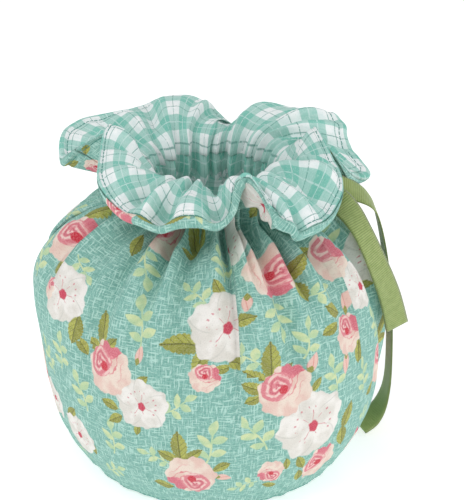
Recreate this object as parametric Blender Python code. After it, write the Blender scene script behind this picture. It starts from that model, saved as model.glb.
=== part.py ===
"""A drawstring tea cosy: two padded print panels, each with its check lining, gathered at the neck by a ribbon.

The cosy stands on its drawn-in hem. Above the neck the cloth opens in a frill whose lining shows. Both side
seams have an open stretch, and the ribbon's tails come out of the one at +X. Metres, +Z up. The front panel
faces -Y. The origin is the middle of the base of the whole object's box.
"""

import math

import bmesh
import bpy
import numpy as np

# Driving sizes, in metres as the tables below are in millimetres
MM = 0.001

# Cloth: each layer is counted with its share of the wadding
PRINT_THICKNESS = 2.2
LINING_THICKNESS = 1.5
LAYER_GAP = 1.3
CASING_GAP = 3.2
HEM_THICKNESS = 4.5
HEM_SHARE = 0.7  # of the first section, the rest being the step where the hem ends
EDGE_ROUNDING = 0.45  # thickness left at the edge of the frill

# Side seams: the two panels meet with this gap above and below the open stretches
SEAM_GAP = 0.7

# The body of the cosy, from the hem to the top of the ribbon's casing
BODY_SECTIONS = (
    # radius, height, rows of faces up to the next section
    (73.0, 0.0, 1),
    (79.0, 9.0, 1),
    (90.0, 30.0, 1),
    (96.5, 62.0, 2),
    (96.0, 98.0, 2),
    (86.0, 131.0, 2),
    (66.0, 152.0, 1),
    (48.0, 159.0, 2),
    (45.5, 170.0, 0),
)
HEM_TOP, CASING_FOOT, CASING_TOP = 1, 7, 8
FRILL_ROWS = 5

# Where the cloth swells out beside the open stretches
SWELLINGS = (
    # heading and height of the middle, swell, spread in degrees, spread in height
    (186.0, 118.0, 8.0, 26.0, 26.0),
    (352.0, 120.0, 2.0, 24.0, 26.0),
)

# The frill's edge, going round by way of the front, a row for each fold. Each fold starts at the neck
# at its share of the cloth, because the cloth is gathered evenly.
FRILL_EDGE = (
    # x, y, height of the edge, bow of the frill above its chord
    (-87, 18, 173, -8),  # left lobe
    (-77, 9, 183, -8),  # its front side
    (-61, 4, 193, 2),  # left valley
    (-61, -10, 189, 3),  # front lobe, left side
    (-61, -38, 179, 5),  # its corner
    (-49, -58, 171, 6),
    (-28, -69, 169, 5),
    (-4, -72, 171, 4),
    (12, -63, 176, 3),
    (18, -53, 191, 1),  # front peak
    (26, -60, 181, 3),
    (38, -69, 169, 5),  # right front lobe
    (53, -65, 164, 8),  # its corner
    (66, -43, 166, 10),
    (69, -20, 173, 8),
    (65, -5, 182, 6),
    (58, 10, 192, 3),  # right valley
    (68, 17, 177, 6),
    (82, 19, 160, 10),  # drooping flap
    (90, 28, 158, 11),
    (82, 37, 167, 9),
    (77, 43, 175, 7),
    (76, 53, 179, 9),  # far right lobe
    (64, 68, 180, 11),
    (45, 77, 176, 12),
    (28, 72, 174, 8),
    (16, 57, 171, 4),  # far peak
    (1, 73, 178, 9),  # far left lobe
    (-14, 81, 184, 12),
    (-38, 74, 182, 11),
    (-54, 55, 184, 3),  # far left valley
    (-72, 54, 183, 2),
    (-86, 38, 180, -4),
)
FIRST_HEADING = 178.1
FRONT_SEAM_FOLD, BACK_SEAM_FOLD = 1, 16
COLUMNS_IN_FOLD = 3

# The gathers that the drawn ribbon makes: troughs that run down the shoulder
GATHERS = (
    # fold number, depth at the neck, half width in folds, reach down the cloth, lean in degrees per 100 mm
    (2.33, 8.0, 0.7, 80, 0),
    (3.67, 9.0, 0.7, 90, 0),
    (4.67, 10.0, 0.7, 135, -6),
    (5.67, 8.0, 0.6, 80, 0),
    (6.67, 10.0, 0.7, 120, 0),
    (7.33, 6.0, 0.6, 60, 0),
    (8.33, 9.0, 0.6, 110, 2),
    (10.0, 10.0, 0.7, 140, 5),
    (11.33, 9.0, 0.7, 95, 0),
    (12.33, 9.0, 0.7, 110, 8),
    (13.67, 9.0, 0.8, 175, 14),
    (17.33, 7.0, 0.7, 70, 0),
    (18.33, 8.0, 0.7, 100, 0),
    (20.0, 7.0, 0.7, 70, 0),
    (21.33, 9.0, 0.7, 115, 0),
    (22.67, 7.0, 0.7, 60, 0),
    (24.0, 9.0, 0.7, 95, 0),
    (25.33, 7.0, 0.7, 75, 0),
    (26.33, 9.0, 0.7, 120, 0),
    (27.67, 7.0, 0.7, 65, 0),
    (29.0, 9.0, 0.7, 105, 0),
    (30.33, 7.0, 0.7, 70, 0),
    (31.67, 8.0, 0.7, 90, 0),
)
GATHER_FADE_IN_FRILL = 16.0

# The frill's curve in section: how high it springs and how far over before it bends, at its foot and its edge
FRILL_LENGTH = 55.0
FOOT_SPRING, FOOT_SPRING_OF_BOW, FOOT_REACH = 9.0, 0.9, 0.08
EDGE_SPRING, EDGE_SPRING_OF_BOW, EDGE_REACH = 2.0, 0.5, 0.28
THICKNESS_TURN = 0.15  # share of the frill in which the direction of thickness turns to the frill's own
LAST_OWN_THICKNESS = 0.88  # past this share it stays as it is, because a folded edge has no direction
EVENED_OVER = ((-0.7, 1), (-0.35, 2), (0, 3), (0.35, 2), (0.7, 1))  # folds to each side, weight
CREASE_START = 0.25

# Folds that cross the frill itself
FRILL_CREASES = (
    # fold number, depth (negative is a ridge), half width in folds, share of the frill at the middle, spread
    (2.3, 4.0, 0.8, 0.55, 0.45),
    (4.0, 3.5, 0.7, 0.55, 0.35),
    (5.6, -2.5, 0.8, 0.6, 0.3),
    (6.6, 4.5, 0.7, 0.7, 0.3),
    (8.3, 4.0, 0.6, 0.7, 0.3),
    (11.3, 3.5, 0.7, 0.5, 0.35),
    (12.6, -2.5, 0.7, 0.65, 0.3),
    (13.7, 5.0, 0.8, 0.6, 0.3),
    (15.0, -2.0, 0.7, 0.6, 0.3),
    (17.0, 3.0, 0.7, 0.5, 0.35),
    (21.3, 3.5, 0.8, 0.5, 0.4),
    (24.0, 3.0, 0.8, 0.5, 0.4),
    (26.0, 3.0, 0.8, 0.5, 0.4),
    (28.6, 2.5, 0.8, 0.5, 0.4),
    (30.3, 4.0, 0.8, 0.5, 0.4),
    (32.3, 2.5, 0.8, 0.5, 0.4),
)

# The open stretches of the side seams, at -X and at +X
LEFT_OPENING = (
    # height, how far the front panel's edge and the back panel's edge draw back
    (50.0, 0.0, 0.0),
    (62.0, -2.0, 12.0),
    (90.0, -4.0, 30.0),
    (120.0, -4.0, 30.0),
    (143.0, -2.0, 14.0),
    (151.0, 0.0, 0.0),
)
RIGHT_OPENING = (
    (13.0, 0.0, 0.0),
    (24.0, 7.0, 5.0),
    (60.0, 13.0, 9.0),
    (110.0, 13.0, 9.0),
    (140.0, 8.0, 8.0),
    (166.0, 6.0, 6.0),  # the ribbon comes out here
    (170.0, 0.0, 0.0),
)
OPENING_SPREAD = 34.0

# The ribbon: a loop in the casing and two free tails out of the slot at +X
RIBBON_THICKNESS = 1.0
RIBBON_SHARE_OF_CASING = 0.8
RIBBON_ROWS_IN_BEND = 3
FRONT_TAIL = (
    # middle line x, y, z, then heading and rise of the ribbon's width, and the width
    (44.9, -3.6, 162.2, 90, 89, 6.4),
    (50.5, -2.4, 162.4, 90, 88, 7),
    (56.0, -3.0, 163.2, 90, 84, 9),
    (64.5, -8.0, 163.0, 85, 60, 13),
    (74.0, -17.0, 157.5, 70, 35, 15),
    (82.5, -24.5, 147.0, 55, 20, 15),
    (91.5, -27.0, 128.0, 45, 14, 15),
    (99.5, -25.0, 107.0, 35, 14, 15),
    (105.0, -21.5, 86.0, 25, 14, 15),
)
BACK_TAIL = (
    (44.9, 3.6, 162.2, 90, 91, 6.4),
    (50.5, 2.4, 162.4, 90, 88, 7),
    (56.0, 3.0, 163.0, 90, 84, 9),
    (66.0, 7.0, 162.0, 90, 60, 13),
    (79.0, 11.0, 157.0, 92, 34, 15),
    (90.0, 13.0, 149.0, 95, 14, 15),
    (95.5, 14.0, 136.0, 98, 4, 15),
    (100.5, 14.0, 112.0, 100, 0, 15),
    (104.0, 14.0, 84.0, 100, 0, 15),
    (105.5, 13.0, 56.0, 100, 0, 15),
    (105.5, 12.0, 33.0, 100, 8, 15),
    (103.0, 11.0, 19.0, 100, 18, 15),
    (97.0, 8.0, 9.5, 98, 28, 15),
    (88.5, 4.0, 5.0, 96, 30, 15),
)


def catmull(points, at, closed=False):
    """A smooth curve through the points, where at counts them from 0."""
    base = np.floor(at).astype(int)
    step = (at - base)[..., None]

    def near(offset):
        index = base + offset
        index = index % len(points) if closed else np.clip(index, 0, len(points) - 1)
        return points[index]

    before, first, second, after = near(-1), near(0), near(1), near(2)
    bend = 2 * before - 5 * first + 4 * second - after
    turn = 3 * (first - second) + after - before
    return first + 0.5 * step * (second - before + step * (bend + step * turn))


def smooth(value):
    value = np.clip(value, 0, 1)
    return value * value * (3 - 2 * value)


EDGE = np.array(FRILL_EDGE, float)
SECTIONS = np.array(BODY_SECTIONS, float)[:, :2]
FOLDS = len(EDGE)
FINE_FOLDS = np.linspace(0, FOLDS, 24 * FOLDS + 1)
FINE_STEPS = np.linalg.norm(np.diff(catmull(EDGE[:, :3], FINE_FOLDS, True), axis=0), axis=1)
FINE_SHARE = np.concatenate([[0], np.cumsum(FINE_STEPS)]) / FINE_STEPS.sum()


def heading_of(fold):
    """Heading in degrees at the neck of the cloth at this fold number of the edge."""
    turns = np.floor(fold / FOLDS)
    return FIRST_HEADING + 360 * (turns + np.interp(fold - turns * FOLDS, FINE_FOLDS, FINE_SHARE))


def outward(heading):
    angle = np.radians(heading)
    return np.stack([np.cos(angle), np.sin(angle), 0 * angle], axis=-1)


def degrees_apart(a, b):
    return (a - b + 180) % 360 - 180


def opening_shift(heading, height, radius, side):
    """Turns a panel's cloth away from its open side seams, in degrees. side is 1 on the front panel."""
    total = 0 * heading
    for opening, fold in ((LEFT_OPENING, FRONT_SEAM_FOLD), (RIGHT_OPENING, BACK_SEAM_FOLD)):
        heights, front, back = np.array(opening).T
        away = degrees_apart(heading, heading_of(np.array(float(fold))))
        drawn = np.where(side > 0, np.interp(height, heights, front), np.interp(height, heights, back))
        towards = side if fold == FRONT_SEAM_FOLD else -side
        near = np.clip(1 - np.abs(away) / OPENING_SPREAD, 0, 1)
        total = total + towards * np.degrees(drawn / radius) * near
    return total


def gather_depth(fold, heading, down):
    """How far the troughs lower the cloth at this distance down from the casing (negative is up the frill)."""
    depth = 0 * heading
    degrees_in_fold = heading_of(fold + 0.5) - heading_of(fold - 0.5)
    for middle, deep, half, reach, lean in GATHERS:
        leant = lean * np.maximum(down, 0) / 100 / degrees_in_fold
        away = (fold - middle - leant + FOLDS / 2) % FOLDS - FOLDS / 2
        across = np.cos(np.clip(away / half, -1, 1) * math.pi / 2) ** 2
        below = 1 - smooth(down / reach)
        above = 1 - smooth(-down / GATHER_FADE_IN_FRILL)
        depth = depth + deep * across * np.where(down > 0, below, above)
    return depth


def crease_depth(fold, share):
    depth = 0 * fold
    for middle, deep, half, centre, spread in FRILL_CREASES:
        away = (fold - middle + FOLDS / 2) % FOLDS - FOLDS / 2
        across = np.cos(np.clip(away / half, -1, 1) * math.pi / 2) ** 2
        depth = depth + deep * across * np.exp(-(((share - centre) / spread) ** 2))
    return depth * smooth(share / CREASE_START)


def body_point(heading, section):
    """The body's smooth surface, its direction of thickness and the distance down the cloth from the casing."""
    profile = catmull(SECTIONS, section)
    ahead = catmull(SECTIONS, section + 0.02) - catmull(SECTIONS, section - 0.02)
    ahead = ahead / np.linalg.norm(ahead, axis=-1, keepdims=True)
    # The base is flat, so the cloth's thickness lies level there
    level = smooth(1 - section / HEM_TOP)
    slope = ahead[..., 0] * (1 - level)
    rise = np.sqrt(1 - slope**2)
    out = outward(heading)
    radius, height = profile[..., 0], profile[..., 1]
    swell = 0 * heading
    for middle, centre, amount, wide, tall in SWELLINGS:
        near = (degrees_apart(heading, middle) / wide) ** 2 + ((height - centre) / tall) ** 2
        swell = swell + amount * np.exp(-near)
    point = out * (radius + swell)[..., None]
    point[..., 2] = height
    along = out * rise[..., None]
    along[..., 2] = -slope
    fine = np.linspace(0, CASING_TOP, 200)
    lengths = np.linalg.norm(np.diff(catmull(SECTIONS, fine), axis=0), axis=1)
    from_casing = np.concatenate([[0], np.cumsum(lengths)]) - lengths[fine[1:] <= CASING_FOOT].sum()
    return point, along, -np.interp(section, fine, from_casing)


def frill_point(fold, share):
    """The frill: each column of cloth springs up from the casing and bows over to the edge."""
    heading = heading_of(fold)
    foot, _, _ = body_point(heading, np.full_like(heading, CASING_TOP))
    edge = catmull(EDGE, fold, True)
    tip, bow = edge[..., :3], edge[..., 3:]
    across = (tip - foot) * [1, 1, 0]
    reach = np.linalg.norm(across, axis=-1, keepdims=True)
    across = across / np.maximum(reach, 1e-6)
    up = np.array([0.0, 0.0, 1.0])
    first = foot + up * (FOOT_SPRING + FOOT_SPRING_OF_BOW * bow) + across * FOOT_REACH * reach
    second = tip + up * (EDGE_SPRING + EDGE_SPRING_OF_BOW * bow) - across * EDGE_REACH * reach
    share = share[..., None]
    rest = 1 - share
    return foot * rest**3 + 3 * first * rest**2 * share + 3 * second * rest * share**2 + tip * share**3


def frill_along(fold, share):
    """The frill's direction of thickness, evened out sideways so that the layers can't cross in a fold."""
    total = 0
    share = np.minimum(share, LAST_OWN_THICKNESS)
    for shift, weight in EVENED_OVER:
        at = fold + shift
        sideways = frill_point(at + 0.1, share) - frill_point(at - 0.1, share)
        upwards = frill_point(at, share + 0.02) - frill_point(at, share - 0.02)
        normal = np.cross(sideways, upwards)
        total = total + weight * normal / np.linalg.norm(normal, axis=-1, keepdims=True)
    return total / np.linalg.norm(total, axis=-1, keepdims=True)


def cloth_point(fold, level, side, offset):
    """A point of the cosy. level counts body sections, and goes on past the casing by the frill's share.
    side is 1 on the front panel, -1 on the back one. offset is the distance out from the print's inner face."""
    fold = fold + 0 * level
    level = level + 0 * fold
    section = np.minimum(level, CASING_TOP)
    share = np.maximum(level - CASING_TOP, 0)
    heading = heading_of(fold)
    profile = catmull(SECTIONS, section)
    heading = heading + opening_shift(heading, profile[..., 1], profile[..., 0], side)
    point, along, down = body_point(heading, section)
    in_frill = share > 0
    frill = frill_point(fold, share)
    frill_up = frill_along(fold, share)
    blend = smooth(share / THICKNESS_TURN)[..., None]
    along = along * (1 - blend) + frill_up * blend
    along = along / np.linalg.norm(along, axis=-1, keepdims=True)
    point = np.where(in_frill[..., None], frill, point)
    down = np.where(in_frill, -FRILL_LENGTH * share, down)
    depth = gather_depth(fold, heading, down) + crease_depth(fold, share)
    return point + along * (offset - depth)[..., None]


def panel_grid(folds, levels, side, offsets):
    """Points of one face of a panel, with its two side edges drawn back by half the seam's gap."""
    grid = cloth_point(folds[None, :], levels[:, None], side, offsets[:, None])
    for column, towards in ((0, 0.05), (-1, -0.05)):
        inward = cloth_point(folds[column] + towards, levels, side, offsets) - grid[:, column]
        upward = np.gradient(grid[:, column], axis=0)
        upward = upward / np.linalg.norm(upward, axis=-1, keepdims=True)
        inward = inward - upward * (inward * upward).sum(-1, keepdims=True)
        grid[:, column] += inward * SEAM_GAP / 2 / np.linalg.norm(inward, axis=-1, keepdims=True)
    return grid


def solid_between(name, outer, inner):
    """One closed solid from the outer and inner faces of a sheet, each a grid of points in millimetres."""
    rows, columns = outer.shape[:2]
    mesh = bmesh.new()
    faces = [[[mesh.verts.new(point * MM) for point in row] for row in grid] for grid in (outer, inner)]
    for grid, turned in ((faces[0], False), (faces[1], True)):
        for row in range(rows - 1):
            for column in range(columns - 1):
                near, beside = grid[row][column], grid[row][column + 1]
                above, across = grid[row + 1][column], grid[row + 1][column + 1]
                # Each square is split the same way in every layer, so that the layers stay apart
                for corners in ((near, beside, across), (near, across, above)):
                    mesh.faces.new(corners[::-1] if turned else corners)
    rim = [(0, column) for column in range(columns)]
    rim += [(row, columns - 1) for row in range(1, rows)]
    rim += [(rows - 1, column) for column in range(columns - 2, -1, -1)]
    rim += [(row, 0) for row in range(rows - 2, 0, -1)]
    for (row, column), (next_row, next_column) in zip(rim, rim[1:] + rim[:1]):
        mesh.faces.new(
            [
                faces[1][row][column],
                faces[1][next_row][next_column],
                faces[0][next_row][next_column],
                faces[0][row][column],
            ]
        )
    return object_of(name, mesh)


def object_of(name, mesh):
    data = bpy.data.meshes.new(name)
    mesh.to_mesh(data)
    mesh.free()
    data.shade_smooth()
    part = bpy.data.objects.new(name, data)
    bpy.context.scene.collection.objects.link(part)
    return part


def painted(part, colour, roughness):
    material = bpy.data.materials.new(part.name)
    material.use_nodes = True
    shader = material.node_tree.nodes["Principled BSDF"]
    shader.inputs["Base Color"].default_value = (*colour, 1)
    shader.inputs["Roughness"].default_value = roughness
    part.data.materials.append(material)


def panel_levels():
    """The rows of a panel: the hem, the body's sections and the frill."""
    body = [0.0, HEM_SHARE * HEM_TOP]
    for section, (_, _, rows) in enumerate(BODY_SECTIONS[HEM_TOP:-1], HEM_TOP):
        body += [section + step / rows for step in range(rows)]
    frill = [CASING_TOP + step / FRILL_ROWS for step in range(FRILL_ROWS + 1)]
    return np.array(body + frill)


def panel_folds(side):
    first, last = FRONT_SEAM_FOLD, BACK_SEAM_FOLD
    if side < 0:
        first, last = BACK_SEAM_FOLD, FRONT_SEAM_FOLD + FOLDS
    return np.linspace(first, last, (last - first) * COLUMNS_IN_FOLD + 1)


def rounded_edge(levels, thickness):
    return np.where(levels > CASING_TOP + 0.999, thickness * EDGE_ROUNDING, thickness)


def print_panel(name, side):
    levels = panel_levels()
    outer = rounded_edge(levels, PRINT_THICKNESS)
    hem = np.clip((HEM_TOP - levels) / (HEM_TOP * (1 - HEM_SHARE)), 0, 1)
    inner = -(HEM_THICKNESS - PRINT_THICKNESS) * hem
    folds = panel_folds(side)
    return solid_between(name, panel_grid(folds, levels, side, outer), panel_grid(folds, levels, side, inner))


def casing_gap(levels):
    """The gap between the layers, wider in the casing for the ribbon."""
    below, above = 2 * (levels - CASING_FOOT) + 1, 1 - FRILL_ROWS * (levels - CASING_TOP)
    inside = np.clip(below, 0, 1) * np.clip(above, 0, 1)
    return LAYER_GAP + (CASING_GAP - LAYER_GAP) * inside


def lining_panel(name, side):
    levels = panel_levels()
    levels = levels[levels >= HEM_TOP]
    outer = -casing_gap(levels)
    inner = outer - rounded_edge(levels, LINING_THICKNESS)
    folds = panel_folds(side)
    return solid_between(name, panel_grid(folds, levels, side, outer), panel_grid(folds, levels, side, inner))


def tail_sections(table):
    """A free tail from the slot to its cut end: three lines of points along it, and its thickness direction."""
    rows = np.array(table)
    at = np.linspace(0, len(rows) - 1, (len(rows) - 1) * RIBBON_ROWS_IN_BEND + 1)
    points = catmull(rows, at)
    middle = points[:, :3]
    along = np.gradient(middle, axis=0)
    rise = np.radians(points[:, 4:5])
    width = outward(points[:, 3]) * np.cos(rise)
    width[:, 2] = np.sin(rise[:, 0])
    along = along / np.linalg.norm(along, axis=1, keepdims=True)
    width = width - along * (width * along).sum(1, keepdims=True)
    width = width / np.linalg.norm(width, axis=1, keepdims=True)
    half = width * points[:, 5:6] / 2
    return np.stack([middle - half, middle, middle + half]), np.cross(along, width)


def loop_grid(offset):
    """One face of the ribbon in its casing, from the slot round by way of the back to the slot again."""
    folds = np.linspace(BACK_SEAM_FOLD, BACK_SEAM_FOLD + FOLDS, FOLDS * COLUMNS_IN_FOLD + 1)
    folds = folds[1:-1]
    side = np.where(folds < FRONT_SEAM_FOLD + FOLDS, -1, 1)
    foot, middle, top = (
        cloth_point(folds, np.full_like(folds, level), side, np.full_like(folds, offset))
        for level in (CASING_FOOT, CASING_FOOT + 0.5, CASING_TOP)
    )
    rest = 1 - RIBBON_SHARE_OF_CASING
    return np.stack([foot + (middle - foot) * rest, middle, top + (middle - top) * rest])


def ribbon(name):
    """One ribbon: in by the back tail, round the casing and out by the front tail."""
    back_lines, back_thick = tail_sections(BACK_TAIL)
    front_lines, front_thick = tail_sections(FRONT_TAIL)
    faces = []
    for half in (RIBBON_THICKNESS / 2, -RIBBON_THICKNESS / 2):
        back = (back_lines - back_thick * half)[:, ::-1]
        faces.append(np.concatenate([back, loop_grid(half - CASING_GAP / 2), front_lines + front_thick * half], 1))
    return solid_between(name, *faces)


def main():
    for old in list(bpy.data.objects):
        bpy.data.objects.remove(old)
    aqua, pale_aqua, olive = (0.24, 0.52, 0.47), (0.42, 0.68, 0.63), (0.22, 0.33, 0.09)
    cloth_roughness, ribbon_roughness = 0.9, 0.7
    parts = []
    for place, side in (("front", 1), ("back", -1)):
        parts.append(print_panel("cosy_" + place, side))
        painted(parts[-1], aqua, cloth_roughness)
        parts.append(lining_panel("lining_" + place, side))
        painted(parts[-1], pale_aqua, cloth_roughness)
    parts.append(ribbon("ribbon"))
    painted(parts[-1], olive, ribbon_roughness)
    corners = np.array([vertex.co for part in parts for vertex in part.data.vertices])
    low, high = corners.min(axis=0), corners.max(axis=0)
    centre = ((low[0] + high[0]) / 2, (low[1] + high[1]) / 2, low[2])
    for part in parts:
        for vertex in part.data.vertices:
            vertex.co = [value - middle for value, middle in zip(vertex.co, centre)]


main()
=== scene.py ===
"""Looks of a drawstring tea cosy: padded floral cotton, lined with a check and gathered under an open frill.

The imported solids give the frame, in metres with +Z up. Each cloth is made again, finer, on its solid's folds.
"""

import math

import bmesh
import bpy
import numpy as np
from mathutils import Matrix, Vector


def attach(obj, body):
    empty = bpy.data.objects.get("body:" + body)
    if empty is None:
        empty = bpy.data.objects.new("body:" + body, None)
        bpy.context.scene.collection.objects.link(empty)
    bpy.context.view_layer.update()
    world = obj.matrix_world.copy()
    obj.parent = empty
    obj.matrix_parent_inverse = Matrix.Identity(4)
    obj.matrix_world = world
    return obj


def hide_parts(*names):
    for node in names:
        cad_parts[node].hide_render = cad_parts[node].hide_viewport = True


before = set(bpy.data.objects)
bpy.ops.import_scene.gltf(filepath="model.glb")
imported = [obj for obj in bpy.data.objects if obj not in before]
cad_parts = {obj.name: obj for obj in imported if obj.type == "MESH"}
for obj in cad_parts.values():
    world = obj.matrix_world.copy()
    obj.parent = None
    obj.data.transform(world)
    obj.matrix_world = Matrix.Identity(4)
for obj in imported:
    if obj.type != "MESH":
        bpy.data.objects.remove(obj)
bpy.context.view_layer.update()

# The print panels: two pieces of floral cotton with thin wadding behind them. They are seamed at the sides above
# and below an open stretch, turned up in a hem at the foot, and gathered at the neck into a frill. The front one
# faces -Y. Lengths are in millimetres, and a fold number counts the points of the frill's edge.
MM = 0.001
AXIS = np.array([-4.79, 0.0, 0.0])
PRINT_THICKNESS = 2.2
LAYER_GAP = 1.3
LINING_THICKNESS = 1.5
HEM_THICKNESS = 4.5
SEAM_GAP = 0.3
CLOTH_WIDTH = 640.0
FRILL_LENGTH = 55.0
BODY_SECTIONS = (
    # radius, height, rows of faces up to the next section
    (73.0, 0.0, 5),
    (79.0, 9.0, 10),
    (90.0, 30.0, 13),
    (96.5, 62.0, 14),
    (96.0, 98.0, 15),
    (86.0, 131.0, 16),
    (66.0, 152.0, 14),
    (48.0, 159.0, 8),
    (45.5, 170.0, 0),
)
HEM_TOP, CASING_FOOT, CASING_TOP = 1, 7, 8
FRILL_ROWS = 44
COLUMNS_IN_FOLD = 14
SWELLINGS = (
    # heading and height of the middle, swell, spread in degrees, spread in height
    (186.0, 118.0, 8.0, 26.0, 26.0),
    (352.0, 120.0, 2.0, 24.0, 26.0),
)
FRILL_EDGE = (
    # x, y, height of the edge, bow above its chord, width of the print that rolls over to the inside
    (-87, 18, 173, -8, 0),
    (-77, 9, 183, -8, 0),
    (-61, 4, 193, 2, 0),
    (-61, -10, 189, 3, 0),
    (-61, -38, 179, 5, 1),
    (-49, -58, 171, 6, 5),
    (-28, -69, 169, 5, 7),
    (-4, -72, 171, 4, 6),
    (12, -63, 176, 3, 7),
    (18, -53, 191, 1, 0),
    (28, -61, 180, 3, 0),
    (38, -69, 169, 5, 4),
    (53, -65, 164, 8, 4),
    (66, -43, 166, 10, 3),
    (69, -20, 173, 8, 1),
    (65, -5, 182, 6, 0),
    (58, 10, 192, 3, 0),
    (68, 17, 177, 6, 0),
    (82, 19, 160, 10, 0),
    (90, 28, 158, 11, 0),
    (82, 37, 167, 9, 0),
    (77, 43, 175, 7, 0),
    (76, 53, 179, 9, 0),
    (64, 68, 180, 11, 0),
    (45, 77, 176, 12, 0),
    (28, 72, 174, 8, 0),
    (16, 57, 171, 4, 0),
    (1, 73, 178, 9, 0),
    (-14, 81, 184, 12, 0),
    (-38, 74, 182, 11, 0),
    (-54, 55, 184, 3, 0),
    (-72, 54, 183, 2, 0),
    (-86, 38, 180, -4, 0),
)
FIRST_HEADING = 178.1
FRONT_SEAM_FOLD, BACK_SEAM_FOLD = 1, 16
GATHERS = (
    # fold number, depth at the neck, half width in folds, reach down the cloth, lean in degrees per 100 mm
    (2.33, 10.0, 0.7, 80, 0),
    (3.67, 11.0, 0.7, 90, 0),
    (4.67, 14.0, 0.7, 135, -6),
    (5.67, 11.0, 0.6, 80, 0),
    (6.67, 14.0, 0.7, 120, 0),
    (7.33, 7.5, 0.5, 60, 0),
    (8.33, 12.5, 0.6, 110, 2),
    (10.0, 14.0, 0.7, 140, 5),
    (11.33, 12.5, 0.7, 95, 0),
    (12.33, 12.5, 0.7, 110, 8),
    (13.67, 14.0, 0.8, 175, 14),
    (4.2, 4.0, 0.3, 80, -8),
    (5.9, 7.0, 0.35, 110, -6),
    (9.2, 6.0, 0.3, 70, 5),
    (11.0, 7.0, 0.3, 80, 10),
    (17.33, 7.0, 0.7, 70, 0),
    (18.33, 8.0, 0.7, 100, 0),
    (20.0, 7.0, 0.7, 70, 0),
    (21.33, 9.0, 0.7, 115, 0),
    (22.67, 7.0, 0.7, 60, 0),
    (24.0, 9.0, 0.7, 95, 0),
    (25.33, 7.0, 0.7, 75, 0),
    (26.33, 9.0, 0.7, 120, 0),
    (27.67, 7.0, 0.7, 65, 0),
    (29.0, 9.0, 0.7, 105, 0),
    (30.33, 7.0, 0.7, 70, 0),
    (31.67, 8.0, 0.7, 90, 0),
)
GATHER_FADE_IN_FRILL = 24.0
TUCKS = (
    # fold number, columns past it, centimetres of cloth hidden in the tuck, reach down the cloth
    (3, 1, 1.2, 110),
    (8, 6, 2.4, 150),
    (12, 13, 1.2, 120),
    (19, 3, 1.2, 100),
    (25, 0, 1.3, 110),
    (30, 3, 1.0, 90),
)
TUCK_SINK, TUCK_RISE, TUCK_EASE = 5.0, 1.8, 2.5
SINK_WIDTH, RISE_WIDTH = 0.25, 0.4
TUCK_REACH_IN_FRILL = 12
SAGS = (
    # fold number, half width in folds, how far spare cloth hangs out and down halfway up the frill
    (10.1, 1.6, 12.0, 8.0),
)
FRILL_CREASES = (
    # fold number, depth (negative is a valley seen from inside), half width in folds, middle up the frill, spread
    (2.3, 6.8, 0.8, 0.55, 0.45),
    (4.0, 5.9, 0.7, 0.55, 0.35),
    (5.0, -8.1, 0.5, 0.46, 0.3),
    (5.45, 6.2, 0.4, 0.5, 0.3),
    (5.95, -10.0, 0.5, 0.68, 0.25),
    (6.6, 7.6, 0.7, 0.7, 0.3),
    (8.3, 6.8, 0.6, 0.7, 0.3),
    (11.3, 5.9, 0.7, 0.5, 0.35),
    (13.0, -10.0, 0.55, 0.55, 0.28),
    (11.55, -5.6, 0.35, 0.85, 0.2),
    (13.7, 8.5, 0.8, 0.6, 0.3),
    (3.3, 5.9, 0.4, 0.5, 0.3),
    (7.4, -9.4, 0.6, 0.72, 0.25),
    (9.7, 4.2, 0.3, 0.6, 0.3),
    (10.6, -3.4, 0.35, 0.5, 0.3),
    (12.1, 6.2, 0.4, 0.6, 0.3),
    (14.4, 5.1, 0.35, 0.5, 0.3),
    (18.6, 5.1, 0.4, 0.5, 0.3),
    (20.2, -3.4, 0.35, 0.6, 0.3),
    (22.4, 5.1, 0.35, 0.6, 0.3),
    (25.1, -3.4, 0.35, 0.5, 0.3),
    (27.3, 5.1, 0.35, 0.6, 0.3),
    (15.0, -3.4, 0.7, 0.6, 0.3),
    (17.0, 5.1, 0.7, 0.5, 0.35),
    (21.3, 5.9, 0.8, 0.5, 0.4),
    (24.0, 5.1, 0.8, 0.5, 0.4),
    (26.0, 5.1, 0.8, 0.5, 0.4),
    (28.6, 4.2, 0.8, 0.5, 0.4),
    (30.9, -8.1, 0.55, 0.45, 0.35),
    (30.0, 5.6, 0.5, 0.5, 0.35),
    (29.1, -6.9, 0.45, 0.45, 0.3),
    (32.3, 4.2, 0.8, 0.5, 0.4),
)
LEFT_OPENING = (
    # height, how far the front panel's edge and the back panel's edge draw back
    (50.0, 0.0, 0.0),
    (62.0, -2.0, 12.0),
    (90.0, -6.0, 30.0),
    (120.0, -10.0, 30.0),
    (143.0, -9.0, 14.0),
    (155.0, 0.0, 0.0),
)
RIGHT_OPENING = (
    (13.0, 0.0, 0.0),
    (24.0, 7.0, 5.0),
    (60.0, 13.0, 9.0),
    (110.0, 13.0, 9.0),
    (140.0, 8.0, 8.0),
    (166.0, 6.0, 6.0),
    (170.0, 0.0, 0.0),
)
OPENING_SPREAD = 34.0
FOOT_SPRING, FOOT_SPRING_OF_BOW, FOOT_REACH = 9.0, 0.9, 0.08
EDGE_SPRING, EDGE_SPRING_OF_BOW, EDGE_REACH = 2.0, 0.5, 0.28
THICKNESS_TURN = 0.15
LAST_OWN_THICKNESS = 0.88
EVENED_OVER = ((-0.7, 1), (-0.35, 2), (0, 3), (0.35, 2), (0.7, 1))
CREASE_START = 0.25
TOPSTITCH_FROM_EDGE = 7.0
EDGE_PUFF, THREAD_SINK, THREAD_SINK_WIDTH = 0.9, 0.8, 1.3


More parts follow.
